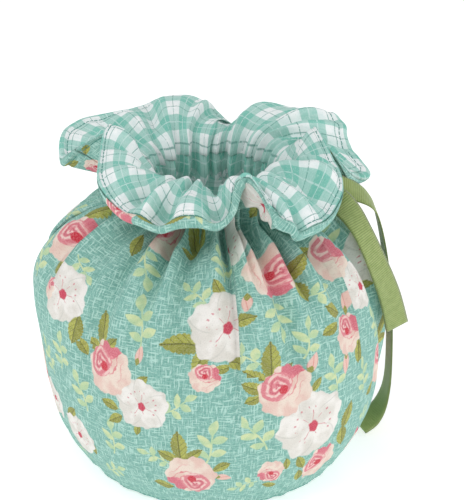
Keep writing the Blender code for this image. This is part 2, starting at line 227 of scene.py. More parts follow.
def catmull(points, at, closed=False):
    """A smooth curve through the points, where at counts them from 0."""
    base = np.floor(at).astype(int)
    step = (at - base)[..., None]

    def near(offset):
        index = base + offset
        index = index % len(points) if closed else np.clip(index, 0, len(points) - 1)
        return points[index]

    before, first, second, after = near(-1), near(0), near(1), near(2)
    bend = 2 * before - 5 * first + 4 * second - after
    turn = 3 * (first - second) + after - before
    return first + 0.5 * step * (second - before + step * (bend + step * turn))


def smooth(value):
    value = np.clip(value, 0, 1)
    return value * value * (3 - 2 * value)


EDGE = np.array(FRILL_EDGE, float)
SECTIONS = np.array(BODY_SECTIONS, float)[:, :2]
FOLDS = len(EDGE)
FINE_FOLDS = np.linspace(0, FOLDS, 24 * FOLDS + 1)
FINE_STEPS = np.linalg.norm(np.diff(catmull(EDGE[:, :3], FINE_FOLDS, True), axis=0), axis=1)
FINE_SHARE = np.concatenate([[0], np.cumsum(FINE_STEPS)]) / FINE_STEPS.sum()
FINE_SECTIONS = np.linspace(0, CASING_TOP, 200)
FINE_LENGTHS = np.linalg.norm(np.diff(catmull(SECTIONS, FINE_SECTIONS), axis=0), axis=1)
TO_CASING = FINE_LENGTHS[FINE_SECTIONS[1:] <= CASING_FOOT].sum()
FROM_CASING = np.concatenate([[0], np.cumsum(FINE_LENGTHS)]) - TO_CASING


def heading_of(fold):
    """The heading, in degrees, at which the cloth of this fold number reaches the neck. It is gathered evenly."""
    turns = np.floor(fold / FOLDS)
    return FIRST_HEADING + 360 * (turns + np.interp(fold - turns * FOLDS, FINE_FOLDS, FINE_SHARE))


def outward(heading):
    angle = np.radians(heading)
    return np.stack([np.cos(angle), np.sin(angle), 0 * angle], axis=-1)


def degrees_apart(a, b):
    return (a - b + 180) % 360 - 180


def folds_past(fold, middle):
    """How many folds one place lies past another, the short way round the cosy."""
    return (fold - middle + FOLDS / 2) % FOLDS - FOLDS / 2


def rounded(away, half):
    """1 on a fold's middle line, falling to 0 at its half width."""
    return np.cos(np.clip(away / half, -1, 1) * math.pi / 2) ** 2


def opening_shift(heading, height, radius, side):
    """Turns a panel's cloth away from its open side seams, in degrees. side is 1 on the front panel."""
    total = 0 * heading
    for opening, fold in ((LEFT_OPENING, FRONT_SEAM_FOLD), (RIGHT_OPENING, BACK_SEAM_FOLD)):
        heights, front, back = np.array(opening).T
        away = degrees_apart(heading, heading_of(np.array(float(fold))))
        drawn = np.where(side > 0, np.interp(height, heights, front), np.interp(height, heights, back))
        towards = side if fold == FRONT_SEAM_FOLD else -side
        near = np.clip(1 - np.abs(away) / OPENING_SPREAD, 0, 1)
        total = total + towards * np.degrees(drawn / radius) * near
    return total


def gather_depth(fold, heading, down):
    """How far the troughs lower the cloth. down is the distance down from the casing, negative up the frill."""
    depth = 0 * heading
    degrees_in_fold = heading_of(fold + 0.5) - heading_of(fold - 0.5)
    for middle, deep, half, reach, lean in GATHERS:
        leant = lean * np.maximum(down, 0) / 100 / degrees_in_fold
        below = 1 - smooth(down / reach)
        above = 1 - smooth(-down / GATHER_FADE_IN_FRILL)
        across = rounded(folds_past(fold - middle, leant), half)
        depth = depth + deep * across * np.where(down > 0, below, above)
    return depth


def beside_tuck(fold, down, past_fold, column, reach):
    """How many folds this place lies past a tuck, and how much of the tuck is left at its height."""
    away = folds_past(fold - past_fold, column / COLUMNS_IN_FOLD)
    return away, (1 - smooth(down / reach)) * (1 - smooth(-down / TUCK_REACH_IN_FRILL))


def tuck_depth(fold, down):
    """The cloth sinks towards a tuck on one side, and lies over it in a raised lip on the other."""
    depth = 0 * down
    for past_fold, column, _, reach in TUCKS:
        away, left = beside_tuck(fold, down, past_fold, column, reach)
        sink = TUCK_SINK * np.exp(np.minimum(away, 0) / SINK_WIDTH)
        rise = -TUCK_RISE * np.exp(-np.maximum(away, 0) / RISE_WIDTH)
        depth = depth + left * np.where(away < 0, sink, rise)
    return depth


def crease_depth(fold, share):
    depth = 0 * fold
    for middle, deep, half, centre, spread in FRILL_CREASES:
        across = rounded(folds_past(fold, middle), half)
        depth = depth + deep * across * np.exp(-(((share - centre) / spread) ** 2))
    return depth * smooth(share / CREASE_START)


def wrinkle_depth(fold, down, share):
    """Small puckers beside the casing and slack ripples below it, which the plain solid leaves out."""
    turn = 2 * math.pi * fold / FOLDS
    puckers = np.sin(97 * turn + 2 * np.sin(5 * turn)) + 0.6 * np.sin(61 * turn + 1)
    beside_casing = np.exp(-np.maximum(down, 0) / 16) * np.exp(-np.maximum(-down, 0) / 9)
    slack = np.sin(29 * turn + down / 23) * np.sin(down / 31 + 3 * np.sin(4 * turn))
    slack = slack + 0.7 * np.sin(47 * turn - down / 17 + 1)
    ruffle = np.sin(41 * turn + 4 * share) * np.sin(math.pi * np.clip(share, 0, 1))
    return 0.7 * puckers * beside_casing + 0.45 * slack * smooth(down / 20) + 0.6 * ruffle


def body_point(heading, section):
    """The body's smooth surface, its direction of thickness and the distance down from the casing."""
    profile = catmull(SECTIONS, section)
    ahead = catmull(SECTIONS, section + 0.02) - catmull(SECTIONS, section - 0.02)
    ahead = ahead / np.linalg.norm(ahead, axis=-1, keepdims=True)
    level = smooth(1 - section / HEM_TOP)
    slope = ahead[..., 0] * (1 - level)
    rise = np.sqrt(1 - slope**2)
    out = outward(heading)
    radius, height = profile[..., 0], profile[..., 1]
    swell = 0 * heading
    for middle, centre, amount, wide, tall in SWELLINGS:
        near = (degrees_apart(heading, middle) / wide) ** 2 + ((height - centre) / tall) ** 2
        swell = swell + amount * np.exp(-near)
    point = out * (radius + swell)[..., None]
    point[..., 2] = height
    along = out * rise[..., None]
    along[..., 2] = -slope
    return point, along, -np.interp(section, FINE_SECTIONS, FROM_CASING)


def frill_point(fold, share):
    """The frill: each column of cloth springs up from the casing and bows over to the edge."""
    heading = heading_of(fold)
    foot, _, _ = body_point(heading, np.full_like(heading, CASING_TOP))
    edge = catmull(EDGE, fold, True)
    tip, bow = edge[..., :3], edge[..., 3:4]
    across = (tip - foot) * [1, 1, 0]
    reach = np.linalg.norm(across, axis=-1, keepdims=True)
    across = across / np.maximum(reach, 1e-6)
    up = np.array([0.0, 0.0, 1.0])
    first = foot + up * (FOOT_SPRING + FOOT_SPRING_OF_BOW * bow) + across * FOOT_REACH * reach
    second = tip + up * (EDGE_SPRING + EDGE_SPRING_OF_BOW * bow) - across * EDGE_REACH * reach
    sag = np.sin(math.pi * share)[..., None]
    share = share[..., None]
    rest = 1 - share
    point = foot * rest**3 + 3 * first * rest**2 * share + 3 * second * rest * share**2 + tip * share**3
    for middle, half, out, drop in SAGS:
        near = rounded(folds_past(fold, middle), half)[..., None]
        point = point + sag * near * (across * out - up * drop)
    return point


def frill_along(fold, share):
    """The frill's direction of thickness, evened out sideways so that the layers can't cross in a fold."""
    total = 0
    share = np.minimum(share, LAST_OWN_THICKNESS)
    for shift, weight in EVENED_OVER:
        at = fold + shift
        sideways = frill_point(at + 0.1, share) - frill_point(at - 0.1, share)
        upwards = frill_point(at, share + 0.02) - frill_point(at, share - 0.02)
        normal = np.cross(sideways, upwards)
        total = total + weight * normal / np.linalg.norm(normal, axis=-1, keepdims=True)
    return total / np.linalg.norm(total, axis=-1, keepdims=True)


def cloth_point(fold, level, side, offset):
    """A point of the cosy. level counts body sections, and goes on past the casing by the frill's share. side is
    1 on the front panel and -1 on the back one. offset is the distance out from the print's inner face."""
    fold = fold + 0 * level
    level = level + 0 * fold
    section = np.minimum(level, CASING_TOP)
    share = np.maximum(level - CASING_TOP, 0)
    heading = heading_of(fold)
    profile = catmull(SECTIONS, section)
    heading = heading + opening_shift(heading, profile[..., 1], profile[..., 0], side)
    point, along, down = body_point(heading, section)
    in_frill = share > 0
    frill = frill_point(fold, share)
    frill_up = frill_along(fold, share)
    blend = smooth(share / THICKNESS_TURN)[..., None]
    along = along * (1 - blend) + frill_up * blend
    along = along / np.linalg.norm(along, axis=-1, keepdims=True)
    point = np.where(in_frill[..., None], frill, point)
    down = np.where(in_frill, -FRILL_LENGTH * share, down)
    depth = gather_depth(fold, heading, down) + tuck_depth(fold, down)
    depth = depth + crease_depth(fold, share) + wrinkle_depth(fold, down, share)
    return (AXIS + point + along * (offset - depth)[..., None]) * MM


def panel_levels(edge_share):
    """The rows of a panel from the foot to the edge of the frill, closer together towards that edge."""
    body = []
    for section, (_, _, rows) in enumerate(BODY_SECTIONS[:-1]):
        body += [section + step / rows for step in range(rows)]
    frill = edge_share * (1 - (1 - np.arange(FRILL_ROWS + 1) / FRILL_ROWS) ** 1.3)
    return np.concatenate([body, CASING_TOP + frill])


def panel_folds(side):
    first, last = FRONT_SEAM_FOLD, BACK_SEAM_FOLD
    if side < 0:
        first, last = BACK_SEAM_FOLD, FRONT_SEAM_FOLD + FOLDS
    return np.linspace(first, last, (last - first) * COLUMNS_IN_FOLD + 1)


def panel_grid(folds, levels, side, offsets):
    """Points of one face of a panel, with its two side edges drawn back by half the seam's gap."""
    grid = cloth_point(folds[None, :] + 0 * levels, levels, side, offsets)
    for column, towards in ((0, 0.05), (-1, -0.05)):
        fold = folds[column] + towards + 0 * levels[:, column]
        inward = cloth_point(fold, levels[:, column], side, offsets[:, column]) - grid[:, column]
        upward = np.gradient(grid[:, column], axis=0)
        upward = upward / np.linalg.norm(upward, axis=-1, keepdims=True)
        inward = inward - upward * (inward * upward).sum(-1, keepdims=True)
        grid[:, column] += inward * SEAM_GAP / 2 * MM / np.linalg.norm(inward, axis=-1, keepdims=True)
    return grid


def turned_edge(distance, radius):
    """How full a padded cloth is at this distance from its edge, where its faces meet in a half round."""
    near = np.clip(1 - distance / radius, 0, 1)
    return np.sqrt(1 - near**2)


def from_edge(levels):
    """Millimetres from the edge of the frill."""
    return (1 - np.maximum(levels - CASING_TOP, 0)) * FRILL_LENGTH


def stitched_puff(levels):
    """The padded edge swells between its topstitching and its seam, and sinks along the thread."""
    distance = from_edge(levels)
    puff = EDGE_PUFF * np.sin(math.pi * np.clip(distance / TOPSTITCH_FROM_EDGE, 0, 1))
    sunk = -THREAD_SINK * np.exp(-(((distance - TOPSTITCH_FROM_EDGE) / THREAD_SINK_WIDTH) ** 2))
    return (puff + sunk) * (levels > CASING_TOP)


def up_the_cloth(levels):
    """Distance up the flat cloth from the casing's foot, in millimetres."""
    body = np.interp(np.minimum(levels, CASING_TOP), FINE_SECTIONS, FROM_CASING)
    return body + np.maximum(levels - CASING_TOP, 0) * FRILL_LENGTH


def sheet_from(name, outer, inner, places):
    """A closed sheet from two grids of points, its outer and its inner face, welded where they meet at the edges.
    places holds each point's own numbers for the pattern: its fold or its distance along, and its height."""
    rows, columns = outer.shape[:2]
    mesh = bmesh.new()
    kept = mesh.verts.layers.float_vector.new("place")
    for points, turned in ((outer, False), (inner, True)):
        made = bmesh.ops.create_grid(mesh, x_segments=columns - 1, y_segments=rows - 1, size=1)
        for vert in made["verts"]:
            column = round((vert.co.x + 1) / 2 * (columns - 1))
            row = round((vert.co.y + 1) / 2 * (rows - 1))
            vert.co = points[row, column]
            vert[kept] = (*places[row, column], turned)
        if turned:
            inward = {face for vert in made["verts"] for face in vert.link_faces}
            bmesh.ops.reverse_faces(mesh, faces=list(inward))
    bmesh.ops.remove_doubles(mesh, verts=mesh.verts, dist=1e-6)
    data = bpy.data.meshes.new(name)
    mesh.to_mesh(data)
    mesh.free()
    data.shade_smooth()
    piece = bpy.data.objects.new(name, data)
    bpy.context.scene.collection.objects.link(piece)
    return piece


def corner_places(piece):
    """The numbers that sheet_from kept, for each corner of each face."""
    data = piece.data
    places = np.empty(len(data.vertices) * 3, np.float32)
    data.attributes["place"].data.foreach_get("vector", places)
    corners = np.empty(len(data.loops), np.int32)
    data.loops.foreach_get("vertex_index", corners)
    return places.reshape(-1, 3)[corners]


def cloth_coordinates(piece):
    """Each face corner's place on the flat cloth, in centimetres: round the cosy and up from the casing's foot."""
    fold, height, _ = corner_places(piece).astype(float).T
    around = (heading_of(fold) - FIRST_HEADING) / 360 * CLOTH_WIDTH
    in_face = len(fold) // len(piece.data.polygons)
    for past_fold, column, hidden, reach in TUCKS:
        away, left = beside_tuck(fold, -height, past_fold, column, reach)
        past = np.sign(away.reshape(-1, in_face).mean(axis=1)).repeat(in_face)
        away = np.maximum(away * past, 0)
        around = around + past * hidden * 5 * left * np.clip(1 - away / TUCK_EASE, 0, 1)
    return np.stack([around, height], axis=1) / 10


def keep_coordinates(piece, name, values):
    layer = piece.data.uv_layers.new(name=name)
    layer.data.foreach_set("uv", values.astype(np.float32).ravel())


# The print: roses, white blooms, olive leaves and pale sprigs on a teal ground hatched like linen. Each motif's
# own coordinates are kept on the faces nearest to it, in units of its size, and the dye is drawn there.
REPEAT = 32.0
FARTHEST_IN_SIZES = 2.2
ROSES = (
    # round and up the cloth in centimetres, half width, turn of its deep side in degrees, kind
    (3.6, -3.4, 1.81, 45, 0),
    (5.0, -6.1, 0.88, 0, 0),
    (10.1, -8.9, 1.88, 30, 0),
    (11.2, -0.5, 1.75, 40, 0),
    (21.0, -3.0, 1.88, -137, 0),
    (26.0, -3.5, 1.75, -35, 0),
    (25.1, -7.8, 1.38, -30, 0),
    (20.6, -9.7, 1.88, 15, 0),
    (23.6, -15.6, 1.62, 30, 0),
    (19.9, -15.0, 1.06, 160, 0),
    (15.0, -15.0, 1.88, 167, 0),
    (15.6, -8.5, 1, -30, 0),
    (10.2, 6.1, 1.38, 0, 0),
    (29.8, -11.0, 1.75, -20, 0),
    (2.0, -12.5, 1.88, 160, 0),
    (28.0, -16.0, 1.12, 0, 0),
    (3.4, 4.4, 1.1, -60, 0),
    (1.2, 4.5, 0.9, 120, 0),
    (30.5, 2.2, 1.5, -30, 0),
)
BLOOMS = (
    (6.2, -6.0, 1.88, 25, 0),
    (12.3, -10.5, 1.81, 0, 0),
    (16.5, -5.8, 2.3, 0, 0),
    (18.7, -0.7, 1.88, -20, 0),
    (22.3, -12.3, 2.62, 10, 0),
    (7.0, -14.4, 1.62, -30, 0),
    (27.4, -5.6, 1.62, 0, 0),
    (20.0, 4.3, 2.1, -40, 0),
    (31.0, -4.8, 2, 30, 0),
    (4.0, -13.4, 1.5, 0, 0),
    (27.4, 4.0, 1.88, 20, 0),
)
LEAVES = (
    # kind 0 is one leaf, 1 a spray of three, 2 a rosebud
    (2.7, -1.5, 1.0, -10, 0),
    (4.6, -4.9, 0.8, 50, 0),
    (7.5, -7.5, 0.9, 174, 0),
    (8.0, -8.3, 0.6, 35, 0),
    (9.3, -7.2, 1.2, 15, 1),
    (12.1, -7.7, 0.6, -15, 2),
    (12.3, -9.1, 0.55, -45, 0),
    (10.3, -11.0, 0.6, 70, 0),
    (10.6, -11.8, 0.6, 125, 0),
    (12.0, -12.1, 0.4, 170, 0),
    (14.5, -6.8, 1.3, 95, 1),
    (16.0, -3.9, 0.7, 30, 0),
    (18.9, -5.5, 0.7, -75, 0),
    (17.2, -7.8, 0.7, -105, 0),
    (16.4, -8.0, 0.5, 100, 0),
    (8.8, -1.5, 0.9, -165, 0),
    (13.8, -0.2, 0.9, 45, 1),
    (22.7, -3.2, 0.9, -55, 0),
    (22.5, -4.4, 0.9, -160, 0),
    (19.3, -4.6, 0.55, 165, 2),
    (24.5, -2.4, 0.9, 85, 0),
    (24.1, -6.1, 0.8, 60, 0),
    (23.6, -7.0, 0.6, 110, 0),
    (25.6, -6.2, 0.7, -20, 2),
    (24.6, -9.2, 0.7, 173, 2),
    (25.9, -9.1, 0.7, 175, 0),
    (19.9, -8.0, 1.2, -5, 1),
    (18.9, -9.2, 0.7, 65, 0),
    (18.9, -9.8, 0.6, 110, 0),
    (22.2, -8.5, 0.65, -25, 2),
    (22.4, -9.8, 0.5, -40, 0),
    (25.2, -12.8, 0.9, -15, 0),
    (25.1, -14.2, 0.8, -165, 0),
    (21.9, -14.9, 0.6, 30, 0),
    (22.1, -16.1, 0.6, -165, 0),
    (20.9, -14.7, 0.5, 10, 0),
    (20.0, -16.2, 0.5, 80, 0),
    (14.4, -12.9, 1.1, 5, 1),
    (16.8, -14.2, 0.6, -60, 0),
    (16.9, -15.0, 0.55, -95, 2),
    (13.2, -16.0, 0.7, 90, 0),
    (6.6, -13.2, 0.8, -40, 0),
    (8.1, -14.9, 0.6, 180, 0),
    (11.7, 6.0, 0.7, -70, 0),
    (8.9, 5.6, 0.7, 80, 0),
    (13.4, 6.1, 0.8, -85, 0),
    (22.9, 1.6, 1.0, -150, 0),
    (21.6, 1.2, 0.8, 165, 0),
    (30.0, -6.2, 0.9, 100, 0),
    (31.4, -9.6, 1.1, -30, 1),
    (28.3, -12.2, 0.8, 110, 0),
    (1.5, -10.6, 1.1, 10, 1),
    (3.4, -14.9, 0.6, 170, 0),
    (5.1, 3.9, 0.9, -50, 0),
    (0.5, 5.9, 0.6, 60, 0),
    (2.1, 5.9, 0.5, -40, 0),
    (25.6, 3.2, 0.9, 100, 0),
    (31.9, 3.1, 0.8, -45, 0),
    (29.1, 1.4, 0.8, 120, 0),
)
SPRIGS = (
    (2.6, -5.3, 1.2, 20, 0),
    (6.8, -4.4, 1.0, -130, 0),
    (11.2, -3.0, 1.3, -165, 0),
    (11.9, -5.9, 1.5, 5, 0),
    (14.7, -4.0, 1.2, 40, 0),
    (16.1, -2.2, 1.1, 5, 0),
    (20.8, -5.8, 1.3, 177, 0),
    (23.8, -4.9, 1.1, -95, 0),
    (22.1, -7.1, 1.2, -20, 0),
    (18.6, -7.4, 1.2, 50, 0),
    (23.7, -9.6, 1.3, 5, 0),
    (26.6, -10.8, 1.3, 5, 0),
    (8.0, -11.0, 1.3, 15, 0),
    (6.3, -9.3, 1.2, -10, 0),
    (10.2, -13.2, 1.3, -10, 0),
    (14.4, -10.2, 1.1, -60, 0),
    (16.2, -12.5, 1.5, -15, 0),
    (12.9, -13.8, 1.1, 65, 0),
    (18.8, -12.0, 1.5, 25, 0),
    (18.2, -15.9, 1.0, 100, 0),
    (9.6, -16.0, 1.1, -70, 0),
    (14.8, 6.0, 1.0, -85, 0),
    (16.6, 5.6, 1.1, 75, 0),
    (28.6, -8.2, 1.3, 20, 0),
    (29.3, -2.2, 1.3, -15, 0),
    (0.7, -7.6, 1.4, -25, 0),
    (0.9, -2.8, 1.2, 30, 0),
    (28.2, -14.0, 1.1, 70, 0),
    (4.6, -10.3, 1.2, 25, 0),
    (31.3, -14.2, 1.4, 10, 0),
    (7.0, 2.8, 1.3, 30, 0),
    (12.6, 2.8, 1.3, 10, 0),
    (17.6, 2.8, 1.3, -40, 0),
    (24.2, 5.0, 1.0, 70, 0),
    (6.2, -16.4, 0.9, 80, 0),
)


def nearest_motif(piece, name, motifs):
    """Keeps each face corner's place in the nearest motif's own axes, with ten added across for each kind."""
    cloth = cloth_coordinates(piece)
    loops = len(cloth) // len(piece.data.polygons)
    centres = cloth.reshape(-1, loops, 2).mean(axis=1)
    table = np.array([(x + REPEAT * turn, *rest) for turn in (-1, 0, 1, 2) for x, *rest in motifs])
    away = np.full(len(centres), np.inf)
    chosen = np.zeros(len(centres), int)
    for number, (x, y, size, _, _) in enumerate(table):
        distance = np.hypot(centres[:, 0] - x, centres[:, 1] - y) / size
        nearer = distance < away
        away[nearer] = distance[nearer]
        chosen[nearer] = number
    own = table[chosen].repeat(loops, axis=0)
    angle = np.radians(own[:, 3])
    across, along = (cloth - own[:, :2]).T
    own_x = across * np.cos(angle) + along * np.sin(angle)
    own_y = along * np.cos(angle) - across * np.sin(angle)
    local = np.stack([own_x, own_y], axis=1) / own[:, 2:3]
    local[:, 0] += 10 * own[:, 4]
    local[away.repeat(loops) > FARTHEST_IN_SIZES] = 5
    keep_coordinates(piece, name, local)


class Field:
    """A number at every point of a material's surface, which can be reckoned with like a plain number."""

    def __init__(self, tree, socket):
        self.tree, self.socket = tree, socket

    def reckon(self, operation, *values):
        node = self.tree.nodes.new("ShaderNodeMath")
        node.operation = operation
        for slot, value in zip(node.inputs, values):
            if isinstance(value, Field):
                self.tree.links.new(value.socket, slot)
            else:
                slot.default_value = value
        return Field(self.tree, node.outputs[0])

    def __add__(self, other):
        return self.reckon("ADD", self, other)

    def __sub__(self, other):
        return self.reckon("SUBTRACT", self, other)

    def __rsub__(self, other):
        return self.reckon("SUBTRACT", other, self)

    def __mul__(self, other):
        return self.reckon("MULTIPLY", self, other)

    def __truediv__(self, other):
        return self.reckon("DIVIDE", self, other)

    def __abs__(self):
        return self.reckon("ABSOLUTE", self)

    def sine(self):
        return self.reckon("SINE", self)

    def largest(self, other):
        return self.reckon("MAXIMUM", self, other)

    def ramp(self, start, end):
        """0 up to start and 1 from end on, with a soft step between; start may be the larger one."""
        node = self.tree.nodes.new("ShaderNodeMapRange")
        node.interpolation_type = "SMOOTHSTEP"
        self.tree.links.new(self.socket, node.inputs["Value"])
        node.inputs["From Min"].default_value = start
        node.inputs["From Max"].default_value = end
        return Field(self.tree, node.outputs[0])

    __radd__ = __add__
    __rmul__ = __mul__


def distance(x, y, centre_x=0.0, centre_y=0.0):
    across, up = x - centre_x, y - centre_y
    square = across * across + up * up
    return square.reckon("SQRT", square)


def turned(x, y, degrees):
    """The same place seen in axes that are turned by so many degrees."""
    c, s = math.cos(math.radians(degrees)), math.sin(math.radians(degrees))
    return x * c + y * s, y * c - x * s


def vector_of(x, y):
    node = x.tree.nodes.new("ShaderNodeCombineXYZ")
    for slot, value in zip(node.inputs, (x, y)):
        x.tree.links.new(value.socket, slot)
    return node.outputs[0]


def noise(x, y, scale=1.0, detail=2.0):
    node = x.tree.nodes.new("ShaderNodeTexNoise")
    node.inputs["Scale"].default_value = scale
    node.inputs["Detail"].default_value = detail
    x.tree.links.new(vector_of(x, y), node.inputs["Vector"])
    return Field(x.tree, node.outputs[0])


def dye(red, green, blue):
    """A cloth colour as it is named on a screen, made linear for the shader."""
    shares = [value / 255 for value in (red, green, blue)]
    return (*(s / 12.92 if s < 0.04 else ((s + 0.055) / 1.055) ** 2.4 for s in shares), 1)


def printed(share, over, under):
    """One dye over another, where share says how much of the upper one shows."""
    node = share.tree.nodes.new("ShaderNodeMix")
    node.data_type = "RGBA"
    share.tree.links.new(share.socket, node.inputs[0])
    for slot, value in ((node.inputs[6], under), (node.inputs[7], over)):
        if isinstance(value, tuple):
            slot.default_value = value
        else:
            share.tree.links.new(value, slot)
    return node.outputs[2]


def surface_place(tree, layer):
    """The two coordinates of a kept layer."""
    source = tree.nodes.new("ShaderNodeUVMap")
    source.uv_map = layer
    parts = tree.nodes.new("ShaderNodeSeparateXYZ")
    tree.links.new(source.outputs[0], parts.inputs[0])
    return Field(tree, parts.outputs[0]), Field(tree, parts.outputs[1])


def cloth_material(name):
    material = bpy.data.materials.new(name)
    material.use_nodes = True
    return material, material.node_tree, material.node_tree.nodes["Principled BSDF"]


def weave_group():
    """Plain cotton: threads half a millimetre apart both ways, uneven like slubbed yarn."""
    group = bpy.data.node_groups.new("cotton_weave", "ShaderNodeTree")
    for socket in ("Round", "Up"):
        group.interface.new_socket(socket, in_out="INPUT", socket_type="NodeSocketFloat")
    for socket in ("Height", "Fleck"):
        group.interface.new_socket(socket, in_out="OUTPUT", socket_type="NodeSocketFloat")
    start = group.nodes.new("NodeGroupInput")
    end = group.nodes.new("NodeGroupOutput")
    x, y = Field(group, start.outputs[0]), Field(group, start.outputs[1])
    threads_in_cm = 20
    warp = abs((x * (math.pi * threads_in_cm)).sine())
    weft = abs((y * (math.pi * threads_in_cm)).sine())
    slub = noise(x * 3, y * 24, 1.0, 1.0) + noise(x * 24, y * 3, 1.0, 1.0)
    height = warp * weft * 0.7 + slub * 0.4
    group.links.new(height.socket, end.inputs[0])
    group.links.new(noise(x * 14, y * 14, 1.0, 3.0).socket, end.inputs[1])
    return group


COTTON_WEAVE = weave_group()


def woven(tree, x, y):
    node = tree.nodes.new("ShaderNodeGroup")
    node.node_tree = COTTON_WEAVE
    tree.links.new(x.socket, node.inputs[0])
    tree.links.new(y.socket, node.inputs[1])
    return Field(tree, node.outputs[0]), Field(tree, node.outputs[1])


def raised(tree, shader, height, depth):
    """Gives the shader the relief of height, depth millimetres deep."""
    bump = tree.nodes.new("ShaderNodeBump")
    bump.inputs["Distance"].default_value = depth * MM
    bump.inputs["Strength"].default_value = 1.0
    tree.links.new(height.socket, bump.inputs["Height"])
    tree.links.new(bump.outputs[0], shader.inputs["Normal"])


def cotton_finish(tree, shader, colour, fleck, roughness, relief):
    """Soft cotton with hardly any shine and a thin nap. relief is its height, and fleck roughens it unevenly."""
    tree.links.new(colour, shader.inputs["Base Color"])
    tree.links.new((fleck * 0.2 + roughness).socket, shader.inputs["Roughness"])
    shader.inputs["Sheen Weight"].default_value = 0.08
    shader.inputs["Sheen Roughness"].default_value = 0.5
    shader.inputs["Specular IOR Level"].default_value = 0.15
    raised(tree, shader, relief, 0.35)


FRILL_TOP_ON_CLOTH = 6.63


def edge_puckers(x, y):
    """Small puckers across the padded edge, where the topstitching draws the cloth up."""
    return noise(x * 5, y * 0.9, 1.0, 2.0) * (y - FRILL_TOP_ON_CLOTH).ramp(-1.5, -0.7)


print_material, tree, shader = cloth_material("rose_print_cotton")
x, y = surface_place(tree, "cloth")
height, fleck = woven(tree, x, y)
upright = noise(x * 12, y * 1.5)
level_lines = noise(x * 1.5, y * 12)
fine_upright = noise(x * 24, y * 3.5)
fine_level = noise(x * 3.5, y * 24)
hatch = (upright.ramp(0.54, 0.64)).largest(level_lines.ramp(0.54, 0.64))
fine_hatch = (fine_upright.ramp(0.54, 0.66)).largest(fine_level.ramp(0.54, 0.66))
shade = (upright.ramp(0.47, 0.38)).largest(level_lines.ramp(0.47, 0.38))
colour = printed(noise(x, y, 0.7, 2.0), dye(132, 190, 177), dye(116, 176, 164))
colour = printed(shade * 0.6, dye(98, 158, 147), colour)
colour = printed(fine_hatch * 0.4, dye(166, 212, 200), colour)
colour = printed(hatch * 0.85, dye(186, 226, 215), colour)

# Pale sprigs: a thin stem with pointed leaflets at its sides and one at its end.
x, y = surface_place(tree, "sprig")
bent = x + (y * 2.5).sine() * 0.1
stem = (abs(bent) - 0.03).ramp(0.02, -0.01) * (abs(y + 0.1) - 0.85).ramp(0.02, -0.02)
leaflets = []
for foot_x, foot_y, lean, long, wide in (
    (0.28, 0.22, -62, 0.34, 0.17),
    (-0.26, 0.02, 60, 0.36, 0.18),
    (0.30, -0.36, -66, 0.33, 0.17),
    (-0.26, -0.56, 64, 0.30, 0.15),
    (-0.05, 0.68, 4, 0.34, 0.17),
):
    own_x, own_y = turned(bent - foot_x, y - foot_y, lean)
    round_end = own_y / long
    leaflets.append((abs(own_x) / wide + round_end * round_end - 1).ramp(0.12, -0.12))
sprig = stem
for leaflet in leaflets:
    sprig = sprig.largest(leaflet)
pale = printed(noise(x, y, 2.0, 1.0).ramp(0.4, 0.6), dye(210, 224, 172), dye(183, 212, 166))
colour = printed(sprig, pale, colour)


def leaf_shape(x, y, wide):
    """How much of one toothed leaf shows, and how dark it is. Its tip is at 1 and its foot at -1."""
    half = (1 - y * y).largest(0) * wide
    teeth = abs((y * 14 + abs(x) * 4).sine()) * 0.06
    shape = (abs(x) - half - teeth + 0.03).ramp(0.025, -0.025) * (abs(y) - 1).ramp(0.02, -0.02)
    midrib = (abs(x) - 0.035).ramp(0.02, -0.015)
    veins = (abs(((y - abs(x) * 1.1) * 9).sine()) - 0.22).ramp(0.1, -0.1)
    dark_side = x.ramp(0.02, -0.02) * 0.45
    return shape, midrib.largest(veins * 0.7).largest(dark_side)


def printed_leaf(x, y, wide, colour, patchy):
    shape, dark = leaf_shape(x, y, wide)
    light = printed(patchy, dye(184, 186, 84), dye(158, 162, 72))
    return printed(shape, printed(dark * 0.95, dye(104, 106, 36), light), colour)


# Olive leaves, alone or three on a stalk, and small pink buds in a green cup.
x, y = surface_place(tree, "leaf")
patchy = noise(x, y, 2.5, 2.0).ramp(0.35, 0.65)
leafed = printed_leaf(x, y, 0.5, colour, patchy)
own_x = x - 10.0
spray = colour
for lean, long in ((62, 0.7), (-58, 0.7), (0, 1.0)):
    side_x, side_y = turned(own_x, y + 0.9, lean)
    spray = printed_leaf(side_x / long, (side_y / long - 1.0) * 1.05, 0.42, spray, patchy)
own_x = x - 20.0
bud = (abs(own_x) - (1 - y * y).largest(0) * 0.42).ramp(0.05, -0.05) * (abs(y) - 0.98).ramp(0.02, -0.02)
cup = (y + abs(own_x) * 0.9 + noise(own_x, y, 5.0, 1.0) * 0.5).ramp(0.06, -0.02)
streak = (abs((own_x * 7 + y * 2).sine()) - 0.3).ramp(0.2, -0.2)
petal = printed(streak * 0.7, dye(222, 128, 120), dye(236, 196, 184))
bud_colour = printed(bud, printed(cup, dye(150, 150, 66), petal), colour)
colour = printed(x.ramp(6.5, 6.6), spray, leafed)
colour = printed(x.ramp(16.5, 16.6), bud_colour, colour)


def ragged(x, y, size, lobes):
    """Distance from a flower's scalloped edge, negative inside it."""
    angle = y.reckon("ARCTAN2", y, x)
    scallops = abs((angle * lobes + 0.6).sine()) * 0.09 + (angle * 13).sine() * 0.02
    return distance(x, y) - scallops - noise(x, y, 2.4, 3.0) * 0.32 + (0.25 - size)


